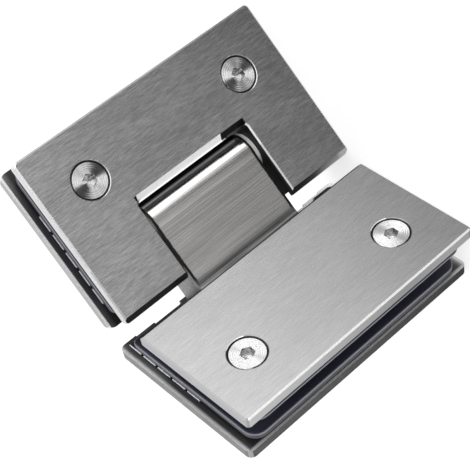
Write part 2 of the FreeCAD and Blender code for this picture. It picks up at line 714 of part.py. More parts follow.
for item in document.Objects:
    if "Invalid" in item.State or "Error" in item.State:
        raise RuntimeError(f"{item.Label} failed: {item.State}")
os.makedirs("parts", exist_ok=True)
for piece, place in placed:
    shape = piece.Shape
    if shape.isNull() or not shape.isValid() or len(shape.Solids) != 1:
        raise RuntimeError(f"{piece.Label} is not one valid solid")
for piece, place in placed:
    piece.Shape.exportStep(f"parts/{piece.Label}.step")
print(f"{len(placed)} pieces, box {box.XLength:.3f} x {box.YLength:.3f} x {box.ZLength:.3f} mm")
print(f"pin axis at x {-box.Center.x:.4f}, y {-box.Center.y:.4f} mm")
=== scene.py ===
import json
import math

import bmesh
import bpy
from mathutils import Matrix, Vector


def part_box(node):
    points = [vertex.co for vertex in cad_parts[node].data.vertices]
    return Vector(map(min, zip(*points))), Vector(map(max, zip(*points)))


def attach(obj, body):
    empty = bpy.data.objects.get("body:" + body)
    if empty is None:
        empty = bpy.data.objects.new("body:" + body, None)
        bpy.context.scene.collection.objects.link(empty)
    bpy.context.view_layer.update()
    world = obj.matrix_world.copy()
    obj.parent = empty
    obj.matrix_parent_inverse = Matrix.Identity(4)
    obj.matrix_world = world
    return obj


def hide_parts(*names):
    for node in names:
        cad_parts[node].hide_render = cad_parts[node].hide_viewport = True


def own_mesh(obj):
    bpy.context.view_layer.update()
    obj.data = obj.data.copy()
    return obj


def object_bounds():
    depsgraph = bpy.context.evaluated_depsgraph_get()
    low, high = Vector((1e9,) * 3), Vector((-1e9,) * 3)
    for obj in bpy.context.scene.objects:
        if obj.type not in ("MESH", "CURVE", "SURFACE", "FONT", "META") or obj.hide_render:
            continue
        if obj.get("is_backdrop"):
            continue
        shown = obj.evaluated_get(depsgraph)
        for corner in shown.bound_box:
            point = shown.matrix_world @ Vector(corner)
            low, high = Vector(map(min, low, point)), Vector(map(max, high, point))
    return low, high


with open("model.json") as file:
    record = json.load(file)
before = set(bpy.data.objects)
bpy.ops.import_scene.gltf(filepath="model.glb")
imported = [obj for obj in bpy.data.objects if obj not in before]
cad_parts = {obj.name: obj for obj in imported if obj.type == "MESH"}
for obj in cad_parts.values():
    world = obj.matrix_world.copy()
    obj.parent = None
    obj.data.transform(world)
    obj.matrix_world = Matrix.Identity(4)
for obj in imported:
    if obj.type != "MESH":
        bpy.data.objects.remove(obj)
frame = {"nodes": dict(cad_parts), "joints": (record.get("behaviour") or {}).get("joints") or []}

cad_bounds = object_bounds()

# The camera looks at the concave side of the hinge from above the far ends of its
# plates. It is rolled, so that the pin runs from the lower left to the upper right.
joints = {joint["name"]: joint for joint in frame["joints"]}
PIN = Vector(joints["door_swing"]["pos_m"])
AIM = PIN + Vector((-0.01642, -0.01312, 0.00386))
DISTANCE = 0.39448
AZIMUTH = math.radians(-5.97)
ELEVATION = math.radians(23.51)
ROLL = math.radians(128.02)
LENS_MM = 104.04
level = math.cos(ELEVATION)
forward = Vector((math.sin(AZIMUTH) * level, math.cos(AZIMUTH) * level, -math.sin(ELEVATION)))
right = Matrix.Rotation(ROLL, 3, forward) @ forward.cross(Vector((0, 0, 1))).normalized()
turn = Matrix((right, right.cross(forward), -forward)).transposed()
camera_data = bpy.data.cameras.new("camera")
camera_data.lens = LENS_MM
camera = bpy.data.objects.new("camera", camera_data)
camera.matrix_world = Matrix.Translation(AIM - DISTANCE * forward) @ turn.to_4x4()
bpy.context.collection.objects.link(camera)
bpy.context.scene.camera = camera
bpy.context.scene.view_settings.view_transform = "Standard"


# The studio is a tent of white cloth, lit unevenly. Bright panels stand to both sides
# of a dark strip beside the camera, and a dim band runs round it low down. The metal
# mirrors all of this, while the camera itself sees plain white.
class Field:
    """A socket of a shader tree. Arithmetic on it adds Math nodes."""

    def __init__(self, tree, socket=None):
        self.tree = tree
        self.socket = socket

    def node(self, kind, settings=None, sockets=None, output=0):
        """Add any node: its settings first, then the values or links of its sockets."""
        made = self.tree.nodes.new("ShaderNode" + kind)
        for name, value in (settings or {}).items():
            if name == "stops":
                ramp = made.color_ramp.elements
                while len(ramp) < len(value):
                    ramp.new(0.5)
                for stop, (position, shade) in zip(ramp, value):
                    stop.position = position
                    stop.color = (shade, shade, shade, 1)
            else:
                setattr(made, name, value)
        for name, value in (sockets or {}).items():
            if isinstance(value, Field):
                self.tree.links.new(value.socket, made.inputs[name])
            else:
                made.inputs[name].default_value = value
        return Field(self.tree, made.outputs[output] if made.outputs else None)

    def math(self, operation, *values):
        return self.node("Math", {"operation": operation}, dict(enumerate(values)))

    def __add__(self, other):
        return self.math("ADD", self, other)

    __radd__ = __add__

    def __sub__(self, other):
        return self.math("SUBTRACT", self, other)

    def __rsub__(self, other):
        return self.math("SUBTRACT", other, self)

    def __mul__(self, other):
        return self.math("MULTIPLY", self, other)

    __rmul__ = __mul__

    def __truediv__(self, other):
        return self.math("DIVIDE", self, other)

    def __abs__(self):
        return self.math("ABSOLUTE", self)


world = bpy.data.worlds.new("tent")
bpy.context.scene.world = world
world.use_nodes = True
background = world.node_tree.nodes["Background"]
tent = Field(world.node_tree)
way = tent.node("TexCoord", output="Generated")
east, south, up = (tent.node("SeparateXYZ", sockets={0: way}, output=axis) for axis in "XYZ")
bearing = tent.math("ARCTAN2", east, 0 - south)
TENT_BRIGHTEST = 3.0
LOW_CLOTH = [
    (-180, 1.0), (-130, 1.1), (-100, 1.3), (-84, 1.3), (-45, 0.7), (-20, 0.55), (-6, 0.5), (0, 0.4),
    (4, 0.13), (18, 0.13), (26, 1.8), (66, 1.8), (78, 0.85), (90, 0.75), (105, 0.95), (180, 1.1),
]
HIGH_CLOTH = [
    (-180, 1.1), (-100, 1.5), (-60, 0.4), (-40, 0.2), (-34, 1.8), (-25, 1.8), (-20, 0.12), (2, 0.12),
    (6, 2.5), (20, 2.5), (28, 1.2), (60, 2.2), (100, 2.0), (180, 1.1),
]
SHADE = [(-90, 0.7), (-55, 0.6), (-40, 0.15), (-32, 0.2), (-28, 0.5), (-24, 0.75), (-19, 1.0), (90, 1.0)]
JOIN = [(-90, 0), (-15, 0), (-10, 1), (90, 1)]


def around(stops):
    """How bright the cloth is, by its bearing in degrees from the camera's side."""
    ramp = [(angle / 360 + 0.5, shade / TENT_BRIGHTEST) for angle, shade in stops]
    return tent.node("ValToRGB", {"stops": ramp}, {0: bearing / (2 * math.pi) + 0.5})


def upward(stops):
    """How a shade changes by its height in degrees above the horizon."""
    ramp = [(math.sin(math.radians(angle)) / 2 + 0.5, shade) for angle, shade in stops]
    return tent.node("ValToRGB", {"stops": ramp}, {0: up * 0.5 + 0.5})


bands = {0: upward(JOIN), 6: around(LOW_CLOTH), 7: around(HIGH_CLOTH)}
cloth = tent.node("Mix", {"data_type": "RGBA"}, bands, 2)
glow = tent.node("VectorMath", {"operation": "MULTIPLY"}, {0: cloth, 1: upward(SHADE)})
glow = tent.node("VectorMath", {"operation": "SCALE"}, {0: glow, "Scale": TENT_BRIGHTEST})
rays = (tent.node("LightPath", output=ray) for ray in ("Is Camera Ray", "Is Transmission Ray"))
seen = tent.math("MAXIMUM", *rays)
shown = tent.node("Mix", {"data_type": "RGBA"}, {0: seen, 6: glow, 7: (1, 1, 1, 1)}, 2)
world.node_tree.links.new(shown.socket, background.inputs["Color"])
background.inputs["Strength"].default_value = 1.0

# A round white table carries the hinge. It takes a soft shadow, and otherwise it
# reads as white as the tent behind it. The metal doesn't mirror it.
TABLE_RADIUS = 1.5
TABLE_RIM_STEPS = 96
PAPER_COLOUR = (0.25, 0.25, 0.25, 1)
PAPER_GLOW = 0.76
rim = [2 * math.pi * step / TABLE_RIM_STEPS for step in range(TABLE_RIM_STEPS)]
table_mesh = bpy.data.meshes.new("table")
corners = [(TABLE_RADIUS * math.cos(angle), TABLE_RADIUS * math.sin(angle), 0) for angle in rim]
table_mesh.from_pydata(corners, [], [range(TABLE_RIM_STEPS)])
table = bpy.data.objects.new("table", table_mesh)
bpy.context.collection.objects.link(table)
paper = bpy.data.materials.new("white_paper")
paper.use_nodes = True
paper.node_tree.nodes.clear()
sheet = Field(paper.node_tree)
matt = sheet.node("BsdfDiffuse", sockets={"Color": PAPER_COLOUR})
lit = sheet.node("Emission", sockets={"Color": (1, 1, 1, 1), "Strength": PAPER_GLOW})
both = sheet.node("AddShader", sockets={0: matt, 1: lit})
sheet.node("OutputMaterial", sockets={"Surface": both})
table_mesh.materials.append(paper)
table.visible_glossy = False
table.visible_shadow = False
table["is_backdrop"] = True


# The four clamp plates are cut from stainless steel plate and brushed along the pin.
# The grain shows as fine streaks with some longer, wavy ones among them. Painted shade
# and painted highlights lie on the cut-out, the holes, the chamfers, the ends and the inner faces.
def dress(nodes, material):
    """Give CAD nodes a material in place of their plain one."""
    for name in nodes:
        slots = frame["nodes"][name].material_slots
        for slot in slots:
            slot.material = material


def metal(name, **constants):
    """A metal material, its tree and its shader, with its constant sockets set."""
    material = bpy.data.materials.new(name)
    material.use_nodes = True
    shader = material.node_tree.nodes["Principled BSDF"]
    shader.inputs["Metallic"].default_value = 1.0
    for socket, value in constants.items():
        shader.inputs[socket.replace("_", " ").title()].default_value = value
    return material, Field(material.node_tree), shader


def feed(shader, **fields):
    """Link fields to sockets of a shader."""
    for socket, field in fields.items():
        target = shader.inputs[socket.replace("_", " ").title()]
        field.tree.links.new(field.socket, target)


def grain(field, place, across, along, roughness=0.6, waver=0.0):
    """Noise drawn out along the pin, from -1 to 1 or so, by its width and length in metres."""
    scale = (1 / across, 1 / across, 1 / along)
    stretched = field.node("Mapping", {}, {0: place, "Scale": scale})
    noise = {0: stretched, "Scale": 1.0, "Detail": 3.0, "Roughness": roughness, "Distortion": waver}
    return (field.node("TexNoise", {}, noise) - 0.5) * 2.0


def tinted(field, amount, dark, light):
    """A colour between two, by an amount from 0 to 1."""
    return field.node("Mix", {"data_type": "RGBA"}, {0: amount, 6: dark, 7: light}, 2)


def grey(level, blue=0.0):
    """A grey, made bluer by a share."""
    return (level, level, level * (1 + blue), 1)


def ramp(field, value, start, end):
    """0 before start, 1 after end, and smooth between them."""
    settings = {"interpolation_type": "SMOOTHSTEP"}
    return field.node("MapRange", settings, {"Value": value, "From Min": start, "From Max": end})


BRUSHED_STRETCH = 0.7
FINE_WIDTH = 0.00022
BROAD_STREAK = (0.0007, 0.009, 0.6, 0.35)
BROAD_SHARE = 0.15
PATCH = (0.012, 0.03, 0.5)
PATCH_SHARE = 0.3
STREAK_ROUGHNESS = 0.05
PATCH_ROUGHNESS = 0.02
END_FACE_CALM = 0.8


def brushed(name, shade, contrast, roughness, depth, length, skins):
    """Steel brushed along the pin. Each skin is a mask and the colour, roughness and metal there."""
    material, field, shader = metal(name, anisotropic=BRUSHED_STRETCH)
    place = field.node("TexCoord", output="Object")
    facing = field.node("TexCoord", output="Normal")
    end_face = abs(field.node("SeparateXYZ", sockets={0: facing}, output="Z"))
    fine = grain(field, place, FINE_WIDTH, length, 0.5)
    broad = grain(field, place, *BROAD_STREAK)
    streak = (fine + broad * BROAD_SHARE) * (1 - end_face * END_FACE_CALM)
    patchy = grain(field, place, *PATCH)
    dark, light = ((*(part * (1 + side * contrast) for part in shade), 1) for side in (-1, 1))
    colour = tinted(field, streak + patchy * PATCH_SHARE + 0.5, dark, light)
    rough = streak * STREAK_ROUGHNESS + patchy * PATCH_ROUGHNESS + roughness
    metallic = 1.0
    for mask, colour_there, rough_there, metallic_there in skins(field, place, facing):
        colour = tinted(field, mask, colour, colour_there)
        rough = rough + mask * (rough_there - rough)
        if isinstance(metallic, Field) or metallic_there < 1.0:
            metallic = metallic + mask * (metallic_there - metallic)
    feed(shader, base_color=colour, roughness=rough)
    if isinstance(metallic, Field):
        feed(shader, metallic=metallic)
    feed(shader, normal=field.node("Bump", {}, {"Distance": depth, "Height": streak}))
    return material


def middle(node):
    """The centre of a CAD node's box."""
    low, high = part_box(node)
    return (low + high) / 2


def dot(field, vector, way):
    """How far a vector field reaches along a way."""
    return field.node("VectorMath", {"operation": "DOT_PRODUCT"}, {0: vector, 1: way}, "Value")


def polar(field, place, across, along, half_spacing):
    """Distances from the axes of a pair of screws: sideways, up the pin, and in all."""
    run = dot(field, place, across) - along
    rise = field.node("SeparateXYZ", sockets={0: place}, output="Z") - PIN.z
    rise = (abs(rise) - half_spacing) * field.math("SIGN", rise)
    return run, rise, field.math("SQRT", run * run + rise * rise)


def countersink_shadows(field, place, facing, outward, across, along):
    """1 on the walls of the countersunk holes, painted dark as a ring of shadow round the screw heads."""
    square = dot(field, facing, outward)
    radius = polar(field, place, across, along, SCREW_HEIGHT)[2]
    leaning = field.math("LESS_THAN", abs(square), FLAT)
    return leaning * field.math("LESS_THAN", radius, COUNTERSINK_RADIUS)


FLAT = 0.9
COUNTERSINK_RADIUS = 0.0059
ACROSS = Vector((-math.sqrt(0.5), -math.sqrt(0.5), 0))
SQUARE = Vector((math.sqrt(0.5), -math.sqrt(0.5), 0))
BEND_DISTANCE = 0.02566
BEND = PIN - Vector((BEND_DISTANCE, 0, 0))
SCREW_HEIGHT = middle("door_upper_clamp_screw").z - PIN.z
DOOR_SCREW = middle("door_upper_clamp_screw").x
FIXED_SCREW = middle("fixed_upper_clamp_screw").dot(ACROSS)
INNER_FACE = 0.0068
HALF_WIDTH = 0.045
# A skin is a colour, a roughness and a share of metal. The near black one is painted
# shade, the two glares are painted highlights, and the last is a painted gleam of light.
PAINTED_SHADE = (grey(0.03), 0.5, 1.0)
GLARE = (grey(1.0), 0.4, 0.1)
DULL_GLARE = (grey(0.7), 0.4, 0.1)
PAINTED_GLEAM = (grey(1.0), 0.5, 0.2)
INNER_REACH = INNER_FACE + 0.0001
MARGIN = (HALF_WIDTH - 0.003, HALF_WIDTH - 0.0008)


def inner_skins(field, depth, square, height, gleam_mask):
    """The inner faces of a leaf's plates: painted shade, lighter at the margin, and a painted gleam where
    a mask says.
    """
    flat = field.math("GREATER_THAN", square, FLAT)
    inner = field.math("LESS_THAN", abs(depth), INNER_REACH) * flat
    margin = ramp(field, height, *MARGIN)
    # The inner faces are painted dark as shade, and lighter near the ends as painted light.
    yield inner, tinted(field, margin, grey(0.08), grey(0.3)), 0.4, 1.0
    yield inner * gleam_mask, *PAINTED_GLEAM


# Where the door leaf's skins lie: heights are up the pin, and ends are from its axis.
CUT_OUT_END = 0.0082
CUT_OUT_LOW = 0.0231
CUT_OUT_HIGH = 0.0669
CHAMFER_END = CUT_OUT_END + 0.004
CHAMFER_LEAN = 0.7
EDGE_BREAK = 0.001
GLARE_LOW = 0.0325
GLARE_HIGH = 0.0655
DOOR_RIM = (HALF_WIDTH - 0.0009, HALF_WIDTH - 0.0005)


def door_skins(field, place, facing):
    """Painted shade and highlights on the cut-out, the chamfers, the ends, the inner faces and the holes.
    """
    x, y, z = (field.node("SeparateXYZ", sockets={0: place}, output=axis) for axis in "XYZ")
    level = field.node("SeparateXYZ", sockets={0: facing}, output="Y")
    end_face = abs(field.node("SeparateXYZ", sockets={0: facing}, output="Z"))
    between = field.math("GREATER_THAN", z, CUT_OUT_LOW) * field.math("LESS_THAN", z, CUT_OUT_HIGH)
    upright = field.math("LESS_THAN", abs(level), 0.4)
    # The walls of the cut-out are painted near black, as shade.
    wall = between * field.math("LESS_THAN", x, PIN.x + CUT_OUT_END) * upright
    yield wall, *PAINTED_SHADE
    # The cut-out's chamfer is painted near black, as shade.
    leaning = field.math("LESS_THAN", abs(level + CHAMFER_LEAN), 0.1)
    near = field.math("LESS_THAN", x, PIN.x + CHAMFER_END)
    yield leaning * between * near, *PAINTED_SHADE
    # In the middle of its height the cut-out's chamfer is a white painted highlight.
    lit = field.math("GREATER_THAN", z, GLARE_LOW) * field.math("LESS_THAN", z, GLARE_HIGH)
    yield leaning * lit * near, *GLARE
    # The low edge of the cut-out carries a grey painted highlight.
    edge = field.math("GREATER_THAN", end_face, 0.5) * field.math("LESS_THAN", level, -0.4)
    low_edge = field.math("LESS_THAN", z, CUT_OUT_LOW + EDGE_BREAK)
    yield edge * low_edge * between * near, *DULL_GLARE
    # The hinge-edge chamfers carry a painted reflection, light at the foot and dark further up.
    shine = tinted(field, ramp(field, z, 0, CUT_OUT_LOW), grey(0.7), grey(0.12))
    yield leaning * field.math("LESS_THAN", x, PIN.x) * (1 - end_face), shine, 0.3, 1.0
    height, depth = abs(z - PIN.z), y - PIN.y
    # A painted gleam on the inner faces near the ends.
    gleam_mask = ramp(field, height, *DOOR_RIM)
    yield from inner_skins(field, depth, abs(level), height, gleam_mask)
    # The back plate's end faces are painted a darker grey, as shade.
    behind = field.math("GREATER_THAN", depth, INNER_FACE)
    yield behind * field.math("GREATER_THAN", end_face, FLAT), grey(0.36), 0.3, 1.0
    # A ring of painted shadow in the countersunk holes.
    yield countersink_shadows(field, place, facing, (0, 1, 0), (1, 0, 0), DOOR_SCREW), *PAINTED_SHADE


# Where the fixed leaf's skins lie: runs are from the bend, and heights as on the door.
CHAMFERED = 1.3
FIXED_BACK_END = 0.0479
FIXED_RIM = (HALF_WIDTH - 0.0016, HALF_WIDTH - 0.0004)
FAR_RIM = (FIXED_BACK_END - 0.0015, FIXED_BACK_END - 0.0005)
TAB_RUN = (0.0035, 0.006)
TAB_HEIGHT = (0.034, 0.028)
BACK_PLATE = (INNER_FACE - 0.001, INNER_FACE)
FRONT_SHINE = (0.03, 0)
SCUFF = (0.004, 0.0005)
SHADE_STREAK_SIZE = (0.0005, 0.004)


def fixed_skins(field, place, facing):
    """Painted shade and highlights on the ends, the chamfers, the inner faces and the holes."""
    z = field.node("SeparateXYZ", sockets={0: place}, output="Z")
    end_face = abs(field.node("SeparateXYZ", sockets={0: facing}, output="Z"))
    depth = dot(field, place, SQUARE) - BEND.dot(SQUARE)
    run = dot(field, place, ACROSS) - BEND.dot(ACROSS)
    square, outward = dot(field, facing, SQUARE), dot(field, facing, ACROSS)
    # The hinge-edge chamfer is painted near black, as shade.
    yield field.math("GREATER_THAN", square - outward, CHAMFERED), *PAINTED_SHADE
    height = abs(z - PIN.z)
    # A painted gleam on the inner faces near the ends, by the far edge and low by the bend.
    pin_ends = ramp(field, height, *FIXED_RIM) * 0.6
    far_edge = ramp(field, run, *FAR_RIM) * 0.5
    tab = ramp(field, run * -1, *TAB_RUN) * ramp(field, z, *TAB_HEIGHT)
    gleam_mask = field.math("MAXIMUM", pin_ends, field.math("MAXIMUM", far_edge, tab))
    yield from inner_skins(field, depth, abs(square), height, gleam_mask)
    behind = ramp(field, depth * -1, *BACK_PLATE)
    # The end faces are painted grey: a pale, bluish grey on the front plate, and on the back plate a
    # darker grey as shade, mottled by noise.
    yield field.math("GREATER_THAN", end_face, 0.3), grey(0.3), 0.35, 1.0
    scuff = grain(field, place, *SCUFF) * 0.4 + 0.5
    scuffs_and_shade = tinted(field, scuff, grey(0.08), grey(0.26))
    end = field.math("GREATER_THAN", end_face, FLAT)
    yield end, tinted(field, behind, grey(0.38, 0.04), scuffs_and_shade), 0.3, 1.0
    # The far-edge faces carry a painted highlight on the front plate, brightest at the foot, and painted
    # shade with dark streaks on the back plate.
    front = tinted(field, ramp(field, z, *FRONT_SHINE), grey(0.45), grey(0.8))
    shade_streaks = tinted(field, grain(field, place, *SHADE_STREAK_SIZE) * 0.7 + 0.4, grey(0.03), grey(0.12))
    yield field.math("GREATER_THAN", outward, FLAT), tinted(field, behind, front, shade_streaks), 0.3, 1.0
    # The chamfer at the far edge carries a near-white painted highlight.
    yield field.math("GREATER_THAN", outward + square, CHAMFERED), grey(0.95), 0.4, 0.4
    # A ring of painted shadow in the countersunk holes.
    yield countersink_shadows(field, place, facing, SQUARE, ACROSS, FIXED_SCREW), *PAINTED_SHADE


PLATE_SHADE = (0.6, 0.6, 0.605)
PLATE_ROUGHNESS = 0.27
DOOR_GRAIN = {"contrast": 0.3, "depth": 0.000004, "length": 0.004}
FIXED_GRAIN = {"contrast": 0.1, "depth": 0.000002, "length": 0.005}
finish = {"shade": PLATE_SHADE, "roughness": PLATE_ROUGHNESS}
door_steel = brushed("brushed_steel_door", skins=door_skins, **finish, **DOOR_GRAIN)
fixed_steel = brushed("brushed_steel_fixed", skins=fixed_skins, **finish, **FIXED_GRAIN)
dress(["door_front_plate", "door_back_plate"], door_steel)
dress(["fixed_front_plate", "fixed_back_plate"], fixed_steel)

# The knuckle is one steel casting, milled flat and brushed like the plates. Its barrel
# is polished. Painted shade darkens the back of the barrel, its end faces and the inside
# of the bend, and a painted shadow runs along the flat beside its ends.
HALF_KNUCKLE = 0.02
BARREL_START = 0.0021
DARK = (PIN.x + 0.0042, PIN.x + 0.0062)
BEND_SHADOW = (-BEND.x - 0.0062, -BEND.x - 0.0034)
SHADOW_BAND = (HALF_KNUCKLE - 0.0011, HALF_KNUCKLE - 0.0007)
SHADOW_SWAY = 0.0003
END_FACING = (0.5, 0.8)
POLISHED = (grey(0.95), 0.12, 1.0)
SHADED = (grey(0.03), 0.2, 1.0)
PAINTED_EDGE_SHADOW = (grey(0.03), 0.45, 1.0)
CLOUD = (0.0009, 0.0009, 0.6)
SCRATCH = (0.0003, 0.02, 0.5)


def knuckle_skins(field, place, facing):
    """The polished barrel, painted shade on its back, on the end faces and in the bend, and painted shadow
    beside the ends.
    """
    x, z = (field.node("SeparateXYZ", sockets={0: place}, output=axis) for axis in "XZ")
    end_face = abs(field.node("SeparateXYZ", sockets={0: facing}, output="Z"))
    cloud = grain(field, place, *CLOUD)
    yield field.math("GREATER_THAN", x, PIN.x + BARREL_START), *POLISHED
    # The back of the barrel, which faces the cut-out's wall, is painted near black as shade.
    yield ramp(field, x, *DARK), *SHADED
    # A painted shadow runs along the flat beside both ends.
    edge = abs(z - PIN.z) + cloud * SHADOW_SWAY
    yield ramp(field, edge, *SHADOW_BAND), *PAINTED_EDGE_SHADOW
    # The end faces are painted dark and mottled, as shade.
    mottled = tinted(field, cloud * 0.6 + 0.5, grey(0.05), grey(0.35))
    yield ramp(field, end_face, *END_FACING), mottled, 0.4, 1.0
    scratch = grain(field, place, *SCRATCH)
    shadow = tinted(field, scratch * 1.2 + 0.3, grey(0.08), grey(0.4))
    turning = ramp(field, x * -1, *BEND_SHADOW)
    yield turning * field.math("LESS_THAN", end_face, 0.5), shadow, 0.35, 1.0


KNUCKLE_SHADE = (0.76, 0.745, 0.73)
KNUCKLE_GRAIN = {"contrast": 0.25, "roughness": 0.24, "depth": 0.000008, "length": 0.018}
knuckle_steel = brushed("brushed_steel_knuckle", KNUCKLE_SHADE, skins=knuckle_skins, **KNUCKLE_GRAIN)
dress(["knuckle"], knuckle_steel)


# The pin and the plungers are ground bright, and the blocks that hold the pin's ends
# are blackened. They sit inside the hinge.
GRIND_DEPTH = 0.000004


def ground(name, dark, light, roughness, width):
    """Steel with fine cloudy marks of grinding all ways."""
    material, field, shader = metal(name)
    place = field.node("TexCoord", output="Object")
    clouds = grain(field, place, width, width, 0.7)
    feed(shader, base_color=tinted(field, clouds * 0.5 + 0.5, (*dark, 1), (*light, 1)))
    feed(shader, roughness=clouds * 0.08 + roughness)
    feed(shader, normal=field.node("Bump", {}, {"Distance": GRIND_DEPTH, "Height": clouds}))
    return material


bright_steel = ground("ground_steel", (0.56, 0.56, 0.57), (0.68, 0.68, 0.69), 0.22, 0.0006)
dress(["pivot_pin", "lower_plunger", "upper_plunger"], bright_steel)
black_steel = ground("blackened_steel", (0.03, 0.03, 0.032), (0.07, 0.07, 0.072), 0.45, 0.0006)
dress(["lower_pivot_block", "upper_pivot_block"], black_steel)

# The bushes are sintered bronze, porous and dull. They are pressed into the knuckle
# and run on the pin.
bronze = ground("sintered_bronze", (0.45, 0.3, 0.14), (0.62, 0.44, 0.22), 0.42, 0.0003)
dress(["lower_bush", "upper_bush"], bronze)

# The thrust washers are turned from white nylon, which is slightly clouded, and take
# the weight of the door between the knuckle and the blocks.
NYLON_IOR = 1.53
NYLON_CLOUD = (0.0012, 0.0012, 0.6)
nylon = bpy.data.materials.new("white_nylon")
nylon.use_nodes = True
nylon_shader = nylon.node_tree.nodes["Principled BSDF"]
nylon_shader.inputs["IOR"].default_value = NYLON_IOR
nylon_field = Field(nylon.node_tree)
nylon_place = nylon_field.node("TexCoord", output="Object")
cloud = grain(nylon_field, nylon_place, *NYLON_CLOUD) * 0.5 + 0.5
feed(nylon_shader, base_color=tinted(nylon_field, cloud, (0.62, 0.62, 0.6, 1), (0.8, 0.8, 0.78, 1)))
feed(nylon_shader, roughness=cloud * 0.15 + 0.3)
dress(["lower_thrust_washer", "upper_thrust_washer"], nylon)


# The clamp screws are turned from stainless bar, with a hexagon socket. The tool leaves
# fine rings on their heads, which break the light into fans. The bolts, plugs and small
# screws inside are ground bright.
RING_PITCH = 0.00013
RING_SLOPE = 0.25
RING_NOISE = 3500.0
RINGED_FACE = (0.6, FLAT)


def turned(name, outward, across, along, dull, bright):
    """Steel with turned rings, between two greys, about the axes of a pair of screws."""
    material, field, shader = metal(name, roughness=0.14)
    place = field.node("TexCoord", output="Object")
    facing = field.node("TexCoord", output="Normal")
    run, rise, radius = polar(field, place, across, along, SCREW_HEIGHT)
    away = field.node("CombineXYZ", {}, {"X": run * across[0], "Y": run * across[1], "Z": rise})
    away = field.node("VectorMath", {"operation": "NORMALIZE"}, {0: away})
    face = ramp(field, abs(dot(field, facing, outward)), *RINGED_FACE)
    noise = {"W": radius, "Scale": RING_NOISE, "Detail": 2.0}
    rings = field.node("TexNoise", {"noise_dimensions": "1D"}, noise)
    wave = field.math("SINE", radius * (2 * math.pi / RING_PITCH))
    groove = field.math("SIGN", wave) * (rings * 0.6 + 0.7)
    tilt = field.node("VectorMath", {"operation": "SCALE"}, {0: away, "Scale": groove * face * RING_SLOPE})
    leaning = field.node("VectorMath", {"operation": "ADD"}, {0: facing, 1: tilt})
    leaning = field.node("VectorMath", {"operation": "NORMALIZE"}, {0: leaning})
    world_way = {"vector_type": "NORMAL", "convert_from": "OBJECT", "convert_to": "WORLD"}
    feed(shader, normal=field.node("VectorTransform", world_way, {0: leaning}))
    ringed = tinted(field, rings, grey(dull), grey(bright))
    feed(shader, base_color=tinted(field, face, grey(0.4), ringed))
    return material


# The door's screws are painted darker and the fixed leaf's lighter: painted shade and painted light on
# screws that are the same.
door_turned = turned("turned_steel_door", (0, 1, 0), (1, 0, 0), DOOR_SCREW, dull=0.3, bright=0.75)
fixed_turned = turned("turned_steel_fixed", SQUARE, ACROSS, FIXED_SCREW, dull=0.6, bright=1.0)
dress(["door_lower_clamp_screw", "door_upper_clamp_screw"], door_turned)
dress(["fixed_lower_clamp_screw", "fixed_upper_clamp_screw"], fixed_turned)
BOLTS = ["lower_knuckle_bolt", "upper_knuckle_bolt"]
dress(BOLTS, bright_steel)
SMALL = ["pin_set_screw", "block_rear_screw", "block_front_screw", "spring_plug"]
dress([f"{end}_{name}" for end in ("lower", "upper") for name in SMALL], bright_steel)


# The gaskets are sheets of clear blue-grey plastic, glued to the inner faces of the
# plates to keep the steel off the glass. A rim stands along their edge, with a groove
# behind it and a foot. They line the plates round the fittings. Their faces are painted
# dark as shade; along the edge the rim is a painted highlight, and the groove and the
# foot are painted shade.
GASKET_THICKNESS = 0.0028
GLASS_FACE = INNER_FACE - GASKET_THICKNESS
GASKET_INSET = 0.003
FAR_INSET = 0.0007
GASKET_ARM = 0.008
PLATE_START = 0.0182
PLATE_END = 0.0368
FIXED_FRONT = (0.0051, 0.0501)
FIXED_BACK = (-0.0087, FIXED_BACK_END)
CORNER_STEPS = 8
FAR_RADIUS = 0.0045
HINGE_RADIUS = 0.002
# The edge's profile, as the depth from the glass and the inset there: a rounded corner,
# the rim, the groove, a lower rim and the foot.
PROFILE = [
    (0, 0.00045), (0.00012, 0.00015),
    (0.00035, 0), (0.00105, 0),
    (0.0012, 0.0003), (0.00145, 0.0003),
    (0.0016, 0.00005), (0.0021, 0.00005),
    (0.0023, 0.0002), (GASKET_THICKNESS, 0.0002),
]
# Painted light and shade along the edge, by depth from the glass: a light rim as a painted highlight,
# painted shade in the groove and a near-black painted shadow at the foot.
EDGE = [
    (0, 0.03), (0.1, 0.22), (0.34, 0.16), (0.46, 0.04),
    (0.58, 0.13), (0.74, 0.1), (0.84, 0.008), (1, 0.008),
]
EDGE_TINT = (0.95, 0.95, 1.1, 1)
# The faces are near black, painted shade.
DARK_FRONT = (0.016, 0.016, 0.027, 1)
LIGHT_FRONT = (0.032, 0.032, 0.048, 1)
EDGE_FACING = (0.95, 0.8)
HAZE = (0.003, 0.008, 0.6)
PLASTIC_IOR = 1.5
PLASTIC_SHEEN = 0.3


def gasket_plastic(name, square_to, origin):
    """Clear plastic: its faces painted dark as shade, its edge banded with painted light and shade."""
    material = bpy.data.materials.new(name)
    material.use_nodes = True
    shader = material.node_tree.nodes["Principled BSDF"]
    shader.inputs["IOR"].default_value = PLASTIC_IOR
    shader.inputs["Specular IOR Level"].default_value = PLASTIC_SHEEN
    field = Field(material.node_tree)
    place = field.node("TexCoord", output="Object")
    facing = field.node("TexCoord", output="Normal")
    depth = abs(dot(field, place, square_to) - origin)
    square = abs(dot(field, facing, square_to))
    bands = field.node("ValToRGB", {"stops": EDGE}, {0: (depth - GLASS_FACE) / GASKET_THICKNESS})
    times = {"data_type": "RGBA", "blend_type": "MULTIPLY"}
    edge = field.node("Mix", times, {0: 1.0, 6: bands, 7: EDGE_TINT}, 2)
    haze = grain(field, place, *HAZE) * 0.5 + 0.5
    front = tinted(field, haze, DARK_FRONT, LIGHT_FRONT)
    feed(shader, base_color=tinted(field, ramp(field, square, *EDGE_FACING), front, edge))
    feed(shader, roughness=haze * 0.12 + 0.25)
    return material


